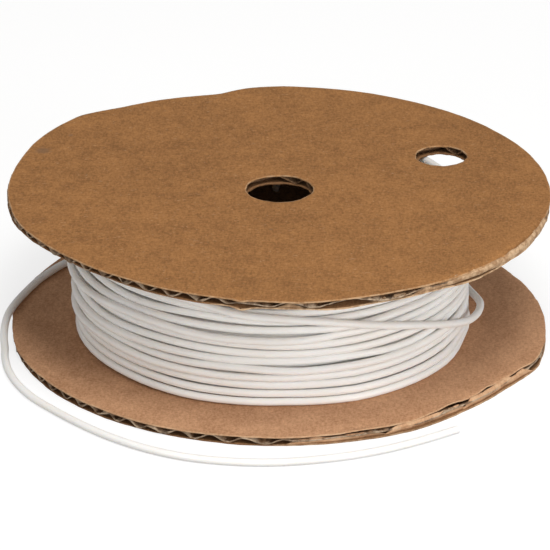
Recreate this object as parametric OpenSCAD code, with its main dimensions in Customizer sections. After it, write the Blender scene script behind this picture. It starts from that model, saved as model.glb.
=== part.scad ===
// String reel: a core tube between two discs of corrugated board, wound with round plastic string.
// Millimetres, +Z up. The origin is on the floor, on the axis of the spindle hole.

/* [Flanges] */
// Diameter of both corrugated discs
flange_d = 140; // [110:1:240]
// Clear height between the two discs
flange_gap = 35; // [24:0.5:70]
// How deep the straight cut at the back of the upper disc goes in from its edge
top_cut = 3.2; // [0.5:0.1:10]
// Direction of the upper disc's straight cut, in degrees
top_cut_angle = 111; // [0:1:359]
// How deep the straight cut at the front of the lower disc goes in from its edge
bottom_cut = 1.6; // [0.5:0.1:10]
// Direction of the lower disc's straight cut, in degrees
bottom_cut_angle = -40; // [-180:1:180]

/* [Corrugated board] */
// Thickness of each flat paper liner
liner_t = 0.3; // [0.2:0.05:0.6]
// Height of the corrugations between the liners
flute_h = 1.8; // [1.2:0.1:4]
// Distance from one corrugation to the next
flute_pitch = 6.2; // [3:0.1:9]
// Thickness of the corrugated medium
medium_t = 0.25; // [0.15:0.05:0.5]
// Width of the glued flat on each corrugation
crest_w = 0.9; // [0.4:0.1:1.2]
// Direction in which the corrugations run, in degrees
flute_angle = 32; // [0:1:179]

/* [Holes] */
// Diameter of the spindle hole through both discs
spindle_d = 17.4; // [8:0.1:30]
// Diameter of the drive hole beside it
drive_d = 13.4; // [6:0.1:16]
// Distance from the axis to the drive hole
drive_reach = 48; // [40:0.5:54]
// Direction of the drive hole, in degrees
drive_angle = 27; // [0:1:359]

/* [Core] */
// Outer diameter of the paper core tube
core_d = 84; // [50:1:90]
// Wall of the core tube
core_wall = 4; // [2:0.5:6]
// Thickness of the glue between the core and each disc
glue_t = 0.2; // [0.1:0.05:0.5]
// How far the core is glued off the spindle axis, to the right
core_x = -1.4; // [-3:0.1:3]
// How far the core is glued off the spindle axis, to the back
core_y = -0.8; // [-3:0.1:3]
// Play of the string's inner end in its slanting hole through the core
lead_play = 0.5; // [0.2:0.1:2]

/* [String] */
// Diameter of the string
cord_d = 1.9; // [1.2:0.1:2]
// Outer diameter of the winding
winding_d = 102.6; // [90:0.2:102.6]
// Clearance between the winding and each disc
winding_clear = 0.3; // [0.25:0.05:2]

/* [Hidden] */

board_t = 2 * liner_t + flute_h;
total_h = flange_gap + 2 * board_t;
gap_floor = board_t;
gap_top = board_t + flange_gap;
through = 1;                    // how far a cut runs past the face it opens
disc_fn = 96;
tube_sides = 8;

kraft = [0.63, 0.45, 0.29];
kraft_inside = [0.56, 0.40, 0.25];
core_paper = [0.55, 0.45, 0.34];
glue_white = [0.90, 0.87, 0.78];
string_white = [0.93, 0.93, 0.91];

// The hole for the string's inner end: where its axis leaves the core's inner wall, in degrees round the
// core and below the gap's top, and its direction
lead_place = 92.4;
lead_drop = 1.9;
lead_angle = 140;

// The last turn of the string, loose around the winding and out over the lower disc's rim:
// degrees, distance from the axis, height
loose_turn = [
    [-116, 53.7, 30.9], [-101, 53.5, 28.2], [-86, 53.2, 26.9], [-72, 52.8, 24.8],
    [-59, 52.4, 21.8], [-46, 52.0, 18.3], [-33, 51.9, 14.4], [-21, 52.4, 11.6],
    [-12, 53.0, 10.2], [-4, 53.2, 8.2], [4, 53.2, 5.4], [11, 53.2, 4.0],
    [20, 53.5, 3.5], [36, 54.3, 3.5], [54, 55.1, 3.5], [72, 56.0, 3.5],
    [90, 57.4, 3.5], [108, 59.8, 3.5], [124, 62.5, 3.5], [137, 65.0, 3.5],
    [148, 67.0, 3.5], [158, 68.2, 3.5], [168, 69.0, 3.5], [176, 69.8, 3.5],
    [182, 70.8, 3.3], [187, 71.5, 2.1], [192, 72.0, 1.1]
];

// The free end, lying on the floor
free_end = [
    [-70.3, -19, 1], [-69.1, -27, 1], [-66.6, -35, 1], [-62.6, -43, 1], [-57, -50.5, 1],
    [-50.6, -58, 1], [-43, -65.6, 1], [-34, -72.4, 1], [-24, -77.5, 1], [-13, -80.3, 1],
    [-1, -81, 1], [12, -78.9, 1], [24, -74.9, 1], [35, -69, 1], [45, -62.2, 1]
];

// The inner end, from the core's centre: in through the slanting hole, then hanging inside the core
inner_end = [
    [-5, 40.8, 35.5], [-3.3, 39.4, 35.5], [-1.6, 38, 35.5], [-0.2, 36.8, 35.2], [0.8, 35.9, 34.3],
    [1.4, 35.2, 32.8], [1.7, 34.8, 30.8], [1.6, 34.6, 28.6], [1.2, 34.6, 26.6], [0.7, 34.6, 24.9]
];

loose_rings = 79;
inner_rings = 9;

// ---- Board ----

// Outline of a disc: a circle with one straight cut
module disc_outline(cut, cut_angle) {
    intersection() {
        circle(d = flange_d, $fn = disc_fn);
        rotate(cut_angle)
            translate([-flange_d / 2 - cut, -flange_d])
                square([flange_d, 2 * flange_d]);
    }
}

// The spindle hole and the drive hole, through one layer
module disc_holes(z, h) {
    translate([0, 0, z - through])
        cylinder(d = spindle_d, h = h + 2 * through, $fn = disc_fn);
    rotate(drive_angle)
        translate([drive_reach, 0, z - through])
            cylinder(d = drive_d, h = h + 2 * through, $fn = disc_fn);
}

module liner(z, cut, cut_angle) {
    difference() {
        translate([0, 0, z])
            linear_extrude(height = liner_t)
                disc_outline(cut, cut_angle);
        disc_holes(z, liner_t);
    }
}

// One corrugation's corners along the sheet: [distance, height]
function wave_points(x, low, high) = [
    [x - crest_w / 2, high], [x + crest_w / 2, high],
    [x + (flute_pitch - crest_w) / 2, low], [x + (flute_pitch + crest_w) / 2, low]
];

function reversed(list) = [for (i = [len(list) - 1:-1:0]) list[i]];

// The corrugated medium's cross-section, long enough for the whole disc
function medium_section() =
    let (
        reach = ceil(flange_d / 2 / flute_pitch) + 1,
        upper = [for (i = [-reach:reach]) each wave_points(i * flute_pitch, medium_t, flute_h)],
        lower = [for (i = [-reach:reach]) each wave_points(i * flute_pitch, 0, flute_h - medium_t)]
    )
    concat(upper, reversed(lower));

module fluting(z, cut, cut_angle) {
    difference() {
        intersection() {
            translate([0, 0, z])
                rotate(flute_angle + 90)
                    rotate([90, 0, 0])
                        linear_extrude(height = 2 * flange_d, center = true)
                            polygon(medium_section());
            translate([0, 0, z - through])
                linear_extrude(height = flute_h + 2 * through)
                    disc_outline(cut, cut_angle);
        }
        disc_holes(z, flute_h);
    }
}

// ---- String ----

function on_turn(p) = [p[1] * cos(p[0]), p[1] * sin(p[0]), p[2]];

// A point on the smooth curve through a route's points, at t = 0 to 1 along the list
function catmull(a, b, c, d, u) =
    0.5 * (2 * b + (c - a) * u + (2 * a - 5 * b + 4 * c - d) * u * u + (3 * b - a - 3 * c + d) * u * u * u);

function along(route, t) =
    let (
        last = len(route) - 1,
        s = min(max(t, 0) * last, last - 0.0001),
        i = floor(s),
        before = i > 0 ? route[i - 1] : 2 * route[0] - route[1],
        after = i + 2 <= last ? route[i + 2] : 2 * route[last] - route[last - 1]
    )
    catmull(before, route[i], route[i + 1], after, s - i);

function unit(v) = v / norm(v);

// The ring of corners around a route's point, square to the route
function ring(centre, forward) =
    let (
        side = unit(cross(forward, abs(forward[2]) > 0.9 ? [1, 0, 0] : [0, 0, 1])),
        up = cross(side, forward)
    )
    [
        for (k = [0:tube_sides - 1])
            let (a = 360 * (k + 0.5) / tube_sides)
            centre + cord_d / 2 * (cos(a) * side + sin(a) * up)
    ];

module cord_tube(route, rings) {
    step = 1 / (rings - 1);
    points = [
        for (i = [0:rings - 1])
            let (t = i * step, forward = unit(along(route, t + step / 4) - along(route, t - step / 4)))
            each ring(along(route, t), forward)
    ];
    walls = [
        for (i = [0:rings - 2], k = [0:tube_sides - 1])
            let (a = i * tube_sides + k, b = i * tube_sides + (k + 1) % tube_sides)
            each [[a, b, b + tube_sides], [a, b + tube_sides, a + tube_sides]]
    ];
    ends = [
        [for (k = [tube_sides - 1:-1:0]) k],
        [for (k = [0:tube_sides - 1]) (rings - 1) * tube_sides + k]
    ];
    polyhedron(points = points, faces = concat(walls, ends), convexity = 10);
}

// ---- Sub-parts ----

module top_flange_outer_liner() {
    color(kraft) liner(total_h - liner_t, top_cut, top_cut_angle);
}

module top_flange_fluting() {
    color(kraft_inside) fluting(gap_top + liner_t, top_cut, top_cut_angle);
}

module top_flange_inner_liner() {
    color(kraft) liner(gap_top, top_cut, top_cut_angle);
}

module bottom_flange_inner_liner() {
    color(kraft) liner(gap_floor - liner_t, bottom_cut, bottom_cut_angle);
}

module bottom_flange_fluting() {
    color(kraft_inside) fluting(liner_t, bottom_cut, bottom_cut_angle);
}

module bottom_flange_outer_liner() {
    color(kraft) liner(0, bottom_cut, bottom_cut_angle);
}

// Ring-shaped piece on the core's axis
module band(z, h, outer_d, inner_d) {
    translate([core_x, core_y, z])
        difference() {
            cylinder(d = outer_d, h = h, $fn = disc_fn);
            translate([0, 0, -through])
                cylinder(d = inner_d, h = h + 2 * through, $fn = disc_fn);
        }
}

module core_tube() {
    color(core_paper)
        difference() {
            band(gap_floor + glue_t, flange_gap - 2 * glue_t, core_d, core_d - 2 * core_wall);
            translate([core_x, core_y, gap_top - lead_drop])
                rotate(lead_place)
                    translate([core_d / 2 - core_wall, 0])
                        rotate([0, 90, lead_angle - lead_place])
                            cylinder(d = cord_d + lead_play, h = 4 * core_wall, center = true, $fn = 32);
        }
}

module upper_core_glue() {
    color(glue_white) band(gap_top - glue_t, glue_t, core_d, core_d - 2 * core_wall);
}

module lower_core_glue() {
    color(glue_white) band(gap_floor, glue_t, core_d, core_d - 2 * core_wall);
}

module string_winding() {
    color(string_white)
        band(gap_floor + winding_clear, flange_gap - 2 * winding_clear, winding_d, core_d);
}

module string_loose_end() {
    color(string_white)
        cord_tube(concat([for (p = loose_turn) on_turn(p)], free_end), loose_rings);
}

module string_inner_end() {
    color(string_white)
        translate([core_x, core_y, 0])
            cord_tube(inner_end, inner_rings);
}

top_flange_outer_liner();
top_flange_fluting();
top_flange_inner_liner();
bottom_flange_inner_liner();
bottom_flange_fluting();
bottom_flange_outer_liner();
core_tube();
upper_core_glue();
lower_core_glue();
string_winding();
string_loose_end();
string_inner_end();
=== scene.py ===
"""A cardboard reel of white plastic string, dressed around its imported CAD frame."""

import logging
import math
from collections.abc import Sequence
from dataclasses import dataclass
from enum import Enum

import bpy
import numpy as np
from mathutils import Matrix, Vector
from mathutils.geometry import delaunay_2d_cdt


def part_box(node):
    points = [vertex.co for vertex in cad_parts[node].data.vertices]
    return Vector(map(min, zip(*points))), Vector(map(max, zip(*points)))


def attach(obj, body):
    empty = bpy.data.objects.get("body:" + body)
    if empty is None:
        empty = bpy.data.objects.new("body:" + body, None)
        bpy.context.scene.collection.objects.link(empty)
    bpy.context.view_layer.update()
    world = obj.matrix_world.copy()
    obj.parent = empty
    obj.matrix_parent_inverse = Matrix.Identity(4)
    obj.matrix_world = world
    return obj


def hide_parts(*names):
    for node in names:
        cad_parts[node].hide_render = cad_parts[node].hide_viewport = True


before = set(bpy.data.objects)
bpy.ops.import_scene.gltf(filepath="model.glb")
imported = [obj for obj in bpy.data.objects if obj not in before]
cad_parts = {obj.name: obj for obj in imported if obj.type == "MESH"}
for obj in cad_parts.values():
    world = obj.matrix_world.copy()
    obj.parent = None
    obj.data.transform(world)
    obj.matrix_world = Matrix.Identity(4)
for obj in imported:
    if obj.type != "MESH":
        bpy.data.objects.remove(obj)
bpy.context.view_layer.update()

Socket = bpy.types.NodeSocket
Thing = bpy.types.Object
Colour = tuple[float, float, float, float]
Spans = tuple[tuple[float, float], ...]

LOG = logging.getLogger("string_reel")
MM = 0.001
TURN = 360.0
ROOT = "root"
DISC_RADIUS = 70.0
# Flat points are laid out this far from the axis, past every rim
SHEET_REACH = 74


# ---------------------------------------------------------------- node trees


class Tree:
    """Short calls for filling a node tree."""

    def __init__(self, tree: bpy.types.NodeTree) -> None:
        """Keeps the tree that the calls fill.

        Args:
            tree: The shader or geometry tree.
        """
        self.tree = tree

    def node(self, kind: str, values: dict | None = None, **settings: object) -> bpy.types.Node:
        """Adds a node.

        Args:
            kind: The node's type name.
            values: Input by name or index: a value, or a socket to link from.
            settings: The node's own properties.

        Returns:
            The new node.
        """
        made = self.tree.nodes.new(kind)
        for name, setting in settings.items():
            setattr(made, name, setting)
        return self.fill(made, values or {})

    def fill(self, node: bpy.types.Node, values: dict) -> bpy.types.Node:
        """Sets a node's inputs.

        Args:
            node: The node.
            values: Input by name or index: a value, or a socket to link from.

        Returns:
            The same node.
        """
        for key, value in values.items():
            if isinstance(value, Socket):
                self.tree.links.new(value, node.inputs[key])
            else:
                node.inputs[key].default_value = value
        return node

    def out(self, kind: str, values: dict | None = None, **settings: object) -> Socket:
        """Adds a node as the node method does, and gives its first output."""
        return self.node(kind, values, **settings).outputs[0]

    def shared(self, name: str, values: dict) -> bpy.types.bpy_prop_collection:
        """Places a shared shader group.

        Args:
            name: The group's name.
            values: Its inputs by name.

        Returns:
            Its outputs by name.
        """
        return self.node("ShaderNodeGroup", values, node_tree=shared_group(name)).outputs

    def math(self, operation: str, *values: object, clamp: bool = False) -> Socket:
        """Adds a Math node.

        Args:
            operation: The node's operation.
            values: Its inputs in order, numbers or sockets.
            clamp: Whether the result stays from 0 to 1.

        Returns:
            The result's socket.
        """
        return self.out("ShaderNodeMath", dict(enumerate(values)), operation=operation, use_clamp=clamp)

    def plus(self, first: object, second: object) -> Socket:
        """Adds two numbers or sockets."""
        return self.math("ADD", first, second)

    def minus(self, first: object, second: object) -> Socket:
        """Takes the second number or socket from the first."""
        return self.math("SUBTRACT", first, second)

    def times(self, first: object, second: object) -> Socket:
        """Multiplies two numbers or sockets."""
        return self.math("MULTIPLY", first, second)

    def blend(self, factor: object, first: object, second: object) -> Socket:
        """Mixes two colours.

        Args:
            factor: How much of the second shows.
            first: The colour at 0.
            second: The colour at 1.

        Returns:
            The mixed colour's socket.
        """
        return self.node("ShaderNodeMix", {0: factor, 6: first, 7: second}, data_type="RGBA").outputs[2]

    def remap(
        self, value: object, low: float, high: float, to_low: float = 0.0, to_high: float = 1.0,
    ) -> Socket:
        """Adds a clamped Map Range node.

        Args:
            value: What is mapped.
            low: The value that gives to_low.
            high: The value that gives to_high.
            to_low: The result at low.
            to_high: The result at high.

        Returns:
            The result's socket.
        """
        ends = {0: value, 1: low, 2: high, 3: to_low, 4: to_high}
        return self.out("ShaderNodeMapRange", ends, interpolation_type="SMOOTHSTEP")

    def noise(self, vector: object, scale: float, detail: float = 3.0, roughness: float = 0.5) -> Socket:
        """Adds a noise texture.

        Args:
            vector: Where it is read.
            scale: Cells for each metre.
            detail: Number of finer layers.
            roughness: How strong the finer layers are.

        Returns:
            The socket of its value.
        """
        values = {"Vector": vector, "Scale": scale, "Detail": detail, "Roughness": roughness}
        return self.out("ShaderNodeTexNoise", values)

    def bump(self, height: object, strength: float, distance: float) -> Socket:
        """Adds a Bump node.

        Args:
            height: What lifts the surface.
            strength: How much of it shows.
            distance: The height of 1, in metres.

        Returns:
            The socket of the changed normal.
        """
        return self.out("ShaderNodeBump", {"Height": height, "Strength": strength, "Distance": distance})

    def dressed(self, geometry: Socket, finish: Socket) -> Socket:
        """Makes a geometry tree's result real and gives it its material.

        Args:
            geometry: The result.
            finish: The material.

        Returns:
            The socket of the finished geometry.
        """
        real = self.out("GeometryNodeRealizeInstances", {"Geometry": geometry})
        return self.out("GeometryNodeSetMaterial", {"Geometry": real, "Material": finish})


def new_group(name: str, kind: str, inputs: Sequence[tuple], outputs: Sequence[tuple]) -> Tree:
    """Makes a node group with named sockets.

    Args:
        name: The group's name.
        kind: ShaderNodeTree or GeometryNodeTree.
        inputs: Name, socket type and default, or None for no default, of each input.
        outputs: Name and socket type of each output.

    Returns:
        The group's tree.
    """
    group = bpy.data.node_groups.new(name, kind)
    for label, socket, default in inputs:
        item = group.interface.new_socket(label, in_out="INPUT", socket_type=socket)
        if default is not None:
            item.default_value = default
    for label, socket in outputs:
        group.interface.new_socket(label, in_out="OUTPUT", socket_type=socket)
    return Tree(group)


def run_geometry(obj: Thing, group: bpy.types.NodeTree, values: dict[str, object]) -> Thing:
    """Runs a geometry tree on an object and keeps the result as a plain mesh.

    Args:
        obj: The object whose mesh is the tree's input.
        group: The tree.
        values: Its named inputs.

    Returns:
        The same object with the finished mesh.
    """
    modifier = obj.modifiers.new("made", "NODES")
    modifier.node_group = group
    for item in group.interface.items_tree:
        if item.item_type == "SOCKET" and item.in_out == "INPUT" and item.name in values:
            modifier[item.identifier] = values[item.name]
    graph = bpy.context.evaluated_depsgraph_get()
    found = obj.evaluated_get(graph)
    mesh = bpy.data.meshes.new_from_object(found, preserve_all_data_layers=True, depsgraph=graph)
    obj.modifiers.remove(modifier)
    obj.data = mesh
    mesh.name = obj.name
    return obj


# ---------------------------------------------------------------- finishes


def linear(red: float, green: float, blue: float) -> Colour:
    """Turns a colour seen on a screen, 0 to 255, into the linear one that shaders use."""
    scaled = [value / 255 for value in (red, green, blue)]
    return (*[(v / 12.92 if v <= 0.04045 else ((v + 0.055) / 1.055) ** 2.4) for v in scaled], 1.0)


class Grain(Enum):
    """How strongly a paper's fibres show."""

    PLAIN = 1.0
    COARSE = 1.6


def paper_grain_group() -> bpy.types.NodeTree:
    """Makes the group of paper fibres, cloudiness and specks.

    Returns:
        The group, whose outputs are Tone, Speck and Height.
    """
    tree = new_group(
        "paper_grain", "ShaderNodeTree",
        [("Vector", "NodeSocketVector", None), ("Strength", "NodeSocketFloat", 1.0)],
        [("Tone", "NodeSocketFloat"), ("Speck", "NodeSocketFloat"), ("Height", "NodeSocketFloat")],
    )
    given = tree.node("NodeGroupInput").outputs
    where = given["Vector"]
    along = tree.out("ShaderNodeMapping", {"Vector": where, "Scale": (0.34, 1.0, 1.0)})
    slant = {"Vector": where, "Scale": (1.0, 0.42, 1.0), "Rotation": (0, 0, 1.9)}
    slanted = tree.out("ShaderNodeMapping", slant)
    long_fibre = tree.noise(along, 2500, 4.0, 0.6)
    cross_fibre = tree.noise(slanted, 1900, 4.0, 0.6)
    cloud = tree.noise(where, 130, 5.0, 0.66)
    wide_cloud = tree.noise(where, 26, 2.0, 0.5)
    fibres = tree.plus(tree.times(long_fibre, 0.5), tree.times(cross_fibre, 0.5))
    clouds = tree.plus(tree.times(cloud, 0.72), tree.times(wide_cloud, 0.28))
    total = tree.plus(tree.times(fibres, 0.68), tree.times(clouds, 0.32))
    spread = tree.times(tree.minus(total, 0.5), tree.times(given["Strength"], 5.2))
    tone = tree.math("ADD", spread, 0.5, clamp=True)
    speck = tree.remap(tree.noise(along, 2600, 1.0, 0.4), 0.70, 0.78)
    tree.node("NodeGroupOutput", {"Tone": tone, "Speck": speck, "Height": fibres})
    return tree.tree


def stain_group() -> bpy.types.NodeTree:
    """Makes the group of one soft stain around a point.

    Returns:
        The group, whose output is Mask.
    """
    tree = new_group(
        "stain", "ShaderNodeTree",
        [
            ("Vector", "NodeSocketVector", None), ("Place", "NodeSocketVector", None),
            ("Radius", "NodeSocketFloat", 0.002),
        ],
        [("Mask", "NodeSocketFloat")],
    )
    given = tree.node("NodeGroupInput").outputs
    ends = {0: given["Vector"], 1: given["Place"]}
    apart = tree.node("ShaderNodeVectorMath", ends, operation="DISTANCE").outputs["Value"]
    uneven = tree.times(apart, tree.plus(tree.noise(given["Vector"], 700, 2.0), 0.5))
    share = tree.math("DIVIDE", uneven, given["Radius"])
    tree.node("NodeGroupOutput", {"Mask": tree.remap(share, 1.1, 0.3)})
    return tree.tree


def fray_group() -> bpy.types.NodeTree:
    """Makes the group of the pale torn edge, from the rim attribute.

    Returns:
        The group, whose output is Mask.
    """
    tree = new_group(
        "frayed_edge", "ShaderNodeTree",
        [
            ("Vector", "NodeSocketVector", None), ("Rim", "NodeSocketFloat", 0.0),
            ("Amount", "NodeSocketFloat", 1.0),
        ],
        [("Mask", "NodeSocketFloat")],
    )
    given = tree.node("NodeGroupInput").outputs
    patchy = tree.remap(tree.noise(given["Vector"], 420, 4.0, 0.65), 0.38, 0.62, 0.25, 1.0)
    close = tree.remap(given["Rim"], 0.25, 0.95)
    mask = tree.math("MULTIPLY", tree.times(close, patchy), given["Amount"], clamp=True)
    tree.node("NodeGroupOutput", {"Mask": mask})
    return tree.tree


GROUPS: dict[str, bpy.types.NodeTree] = {}


def shared_group(name: str) -> bpy.types.NodeTree:
    """Gives a shared node group, made the first time it is asked for.

    Args:
        name: The group's name.

    Returns:
        The group.
    """
    makers = {
        "paper_grain": paper_grain_group, "stain": stain_group, "frayed_edge": fray_group,
        "string_tube": tube_group, "corrugated_medium": medium_group, "torn_fibres": fibre_group,
    }
    if name not in GROUPS:
        GROUPS[name] = makers[name]()
    return GROUPS[name]


def new_material(name: str) -> tuple[Tree, bpy.types.Node, Socket, bpy.types.Material]:
    """Starts a material with a Principled shader and Object coordinates.

    Args:
        name: The material's name.

    Returns:
        Its tree, the Principled node, the coordinate socket and the material.
    """
    material = bpy.data.materials.new(name)
    material.use_nodes = True
    material.node_tree.nodes.clear()
    tree = Tree(material.node_tree)
    shader = tree.node("ShaderNodeBsdfPrincipled")
    tree.node("ShaderNodeOutputMaterial", {"Surface": shader.outputs[0]})
    where = tree.node("ShaderNodeTexCoord").outputs["Object"]
    return tree, shader, where, material


@dataclass(frozen=True)
class KraftPaper:
    """Brown kraft paper with fibres, specks, stains and pale torn edges."""

    name: str
    light: Colour
    dark: Colour
    torn: Colour
    grain: Grain = Grain.PLAIN
    fray: float = 1.0
    stains: tuple[tuple[float, float, float, float], ...] = ()
    stain_colour: Colour = (0.20, 0.12, 0.07, 1.0)

    def build(self) -> bpy.types.Material:
        """Makes the material.

        Returns:
            The material.
        """
        tree, shader, where, material = new_material(self.name)
        grain = tree.shared("paper_grain", {"Vector": where, "Strength": self.grain.value})
        colour = tree.blend(grain["Tone"], self.dark, self.light)
        colour = tree.blend(tree.times(grain["Speck"], 0.35), colour, self.torn)
        for x, y, z, radius in self.stains:
            place = (x * MM, y * MM, z * MM)
            stain = tree.shared("stain", {"Vector": where, "Place": place, "Radius": radius * MM})
            colour = tree.blend(tree.times(stain["Mask"], 0.7), colour, self.stain_colour)
        rim = tree.node("ShaderNodeAttribute", attribute_name="rim").outputs["Fac"]
        fray = tree.shared("frayed_edge", {"Vector": where, "Rim": rim, "Amount": self.fray})
        tree.fill(shader, {
            "Base Color": tree.blend(fray["Mask"], colour, self.torn),
            "Roughness": tree.remap(grain["Height"], 0.3, 0.7, 0.88, 0.74),
            "Specular IOR Level": 0.3,
            "Normal": tree.bump(grain["Height"], 0.35, 0.00012),
        })
        return material


@dataclass(frozen=True)
class WoundPaper:
    """Grey-brown paper of a wound core, with the slanting seams of its plies."""

    name: str = "core_wound_paper"
    ply_width: float = 38.0

    def build(self) -> bpy.types.Material:
        """Makes the material.

        Returns:
            The material.
        """
        tree, shader, where, material = new_material(self.name)
        grain = tree.shared("paper_grain", {"Vector": where, "Strength": Grain.COARSE.value})
        parts = tree.node("ShaderNodeSeparateXYZ", {0: where}).outputs
        turns = tree.math("DIVIDE", tree.math("ARCTAN2", parts[1], parts[0]), 2 * math.pi)
        climb = tree.plus(tree.math("DIVIDE", parts[2], self.ply_width * MM), turns)
        seam = tree.math("ABSOLUTE", tree.minus(tree.math("FRACT", climb), 0.5))
        line = tree.remap(seam, 0.012, 0.0)
        colour = tree.blend(grain["Tone"], linear(118, 98, 76), linear(156, 134, 106))
        tree.fill(shader, {
            "Base Color": tree.blend(tree.times(line, 0.8), colour, linear(70, 56, 42)),
            "Roughness": 0.85,
            "Normal": tree.bump(tree.minus(grain["Height"], line), 0.4, 0.0002),
        })
        return material


@dataclass(frozen=True)
class DriedGlue:
    """Cloudy cream glue, dried half clear, with small bubbles."""

    name: str = "dried_paper_glue"

    def build(self) -> bpy.types.Material:
        """Makes the material.

        Returns:
            The material.
        """
        tree, shader, where, material = new_material(self.name)
        cloud = tree.noise(where, 260, 4.0, 0.6)
        cell = tree.node("ShaderNodeTexVoronoi", {"Vector": where, "Scale": 900.0})
        bubble = tree.remap(cell.outputs["Distance"], 0.22, 0.1)
        colour = tree.blend(cloud, linear(196, 182, 146), linear(234, 226, 200))
        tree.fill(shader, {
            "Base Color": tree.blend(tree.times(bubble, 0.5), colour, linear(164, 146, 110)),
            "Roughness": tree.remap(cloud, 0.3, 0.7, 0.28, 0.5),
            "Normal": tree.bump(tree.minus(cloud, bubble), 0.5, 0.0001),
        })
        return material


@dataclass(frozen=True)
class SatinPlastic:
    """White extruded plastic with faint drawn streaks, scuffs and a satin shine."""

    name: str = "white_satin_string"

    def build(self) -> bpy.types.Material:
        """Makes the material.

        Returns:
            The material.
        """
        tree, shader, where, material = new_material(self.name)
        along = tree.node("ShaderNodeAttribute", attribute_name="along").outputs["Fac"]
        around = tree.node("ShaderNodeAttribute", attribute_name="around").outputs["Fac"]
        turned = tree.times(around, 2 * math.pi)
        skin = {0: tree.times(along, 14.0), 1: tree.math("COSINE", turned), 2: tree.math("SINE", turned)}
        streak = tree.noise(tree.out("ShaderNodeCombineXYZ", skin), 3.2, 3.0, 0.6)
        batch = tree.noise(where, 60, 2.0, 0.5)
        scuff = tree.remap(tree.noise(where, 520, 4.0, 0.7), 0.62, 0.74)
        colour = tree.blend(tree.remap(batch, 0.3, 0.7), linear(242, 239, 235), linear(248, 247, 245))
        drawn = tree.times(tree.remap(streak, 0.35, 0.7), 0.3)
        colour = tree.blend(drawn, colour, linear(236, 231, 223))
        tree.fill(shader, {
            "Base Color": tree.blend(tree.times(scuff, 0.25), colour, linear(212, 204, 192)),
            "Roughness": tree.remap(streak, 0.3, 0.7, 0.36, 0.5),
            "Specular IOR Level": 0.4,
            "Subsurface Weight": 0.3,
            "Subsurface Radius": (1.0, 0.85, 0.7),
            "Subsurface Scale": 0.0012,
            "Normal": tree.bump(tree.plus(streak, tree.times(scuff, 0.5)), 0.2, 0.00008),
        })
        return material


# ---------------------------------------------------------------- meshes


def new_piece(name: str, points: np.ndarray, faces: Sequence, rim: np.ndarray | None = None) -> Thing:
    """Makes a mesh object at the origin.

    Args:
        name: The piece's name.
        points: Its corners in millimetres.
        faces: Its faces.
        rim: How near each corner is to a cut edge, 0 to 1.

    Returns:
        The object, linked to the scene.
    """
    mesh = bpy.data.meshes.new(name)
    mesh.from_pydata((np.asarray(points) * MM).tolist(), [], [list(map(int, f)) for f in faces])
    if rim is not None:
        near = mesh.attributes.new("rim", "FLOAT", "POINT")
        near.data.foreach_set("value", np.asarray(rim, np.float32))
    mesh.update()
    obj = bpy.data.objects.new(name, mesh)
    bpy.context.scene.collection.objects.link(obj)
    return obj


def finish_piece(obj: Thing, material: bpy.types.Material, slot: str, *nodes: str) -> Thing:
    """Dresses a piece and ties it to the frame.

    Args:
        obj: The piece.
        material: Its material.
        slot: A material slot's name, which is not used.
        nodes: The CAD nodes that it stands for.

    Returns:
        The piece.
    """
    obj.data.materials.clear()
    obj.data.materials.append(material)
    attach(obj, ROOT)
    if nodes:
        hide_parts(*nodes)
    return obj


def smoothstep(t: np.ndarray) -> np.ndarray:
    """Gives the smooth step from 0 to 1, flat outside."""
    t = np.clip(t, 0.0, 1.0)
    return t * t * (3 - 2 * t)


def turned(radius: np.ndarray | float, angle: np.ndarray) -> np.ndarray:
    """Turns radii and angles in radians into flat points."""
    return np.column_stack([radius * np.cos(angle), radius * np.sin(angle)])


def catmull_rom(points: np.ndarray, step: float) -> np.ndarray:
    """Samples the smooth curve through points at even lengths.

    Args:
        points: The points that it passes through.
        step: The length between samples.

    Returns:
        The samples, from the first point to the last.
    """
    padded = np.vstack([2 * points[0] - points[1], points, 2 * points[-1] - points[-2]])
    fine = []
    for i in range(len(points) - 1):
        a, b, c, d = padded[i:i + 4]
        u = np.linspace(0, 1, 24, endpoint=False)[:, None]
        square, cube = 2 * a - 5 * b + 4 * c - d, 3 * b - a - 3 * c + d
        fine.append(0.5 * (2 * b + (c - a) * u + square * u ** 2 + cube * u ** 3))
    fine = np.vstack([*fine, points[-1:]])
    run = np.concatenate([[0], np.cumsum(np.linalg.norm(np.diff(fine, axis=0), axis=1))])
    places = np.linspace(0, run[-1], max(2, round(run[-1] / step) + 1))
    return np.column_stack([np.interp(places, run, fine[:, k]) for k in range(points.shape[1])])


# ---------------------------------------------------------------- the studio


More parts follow.
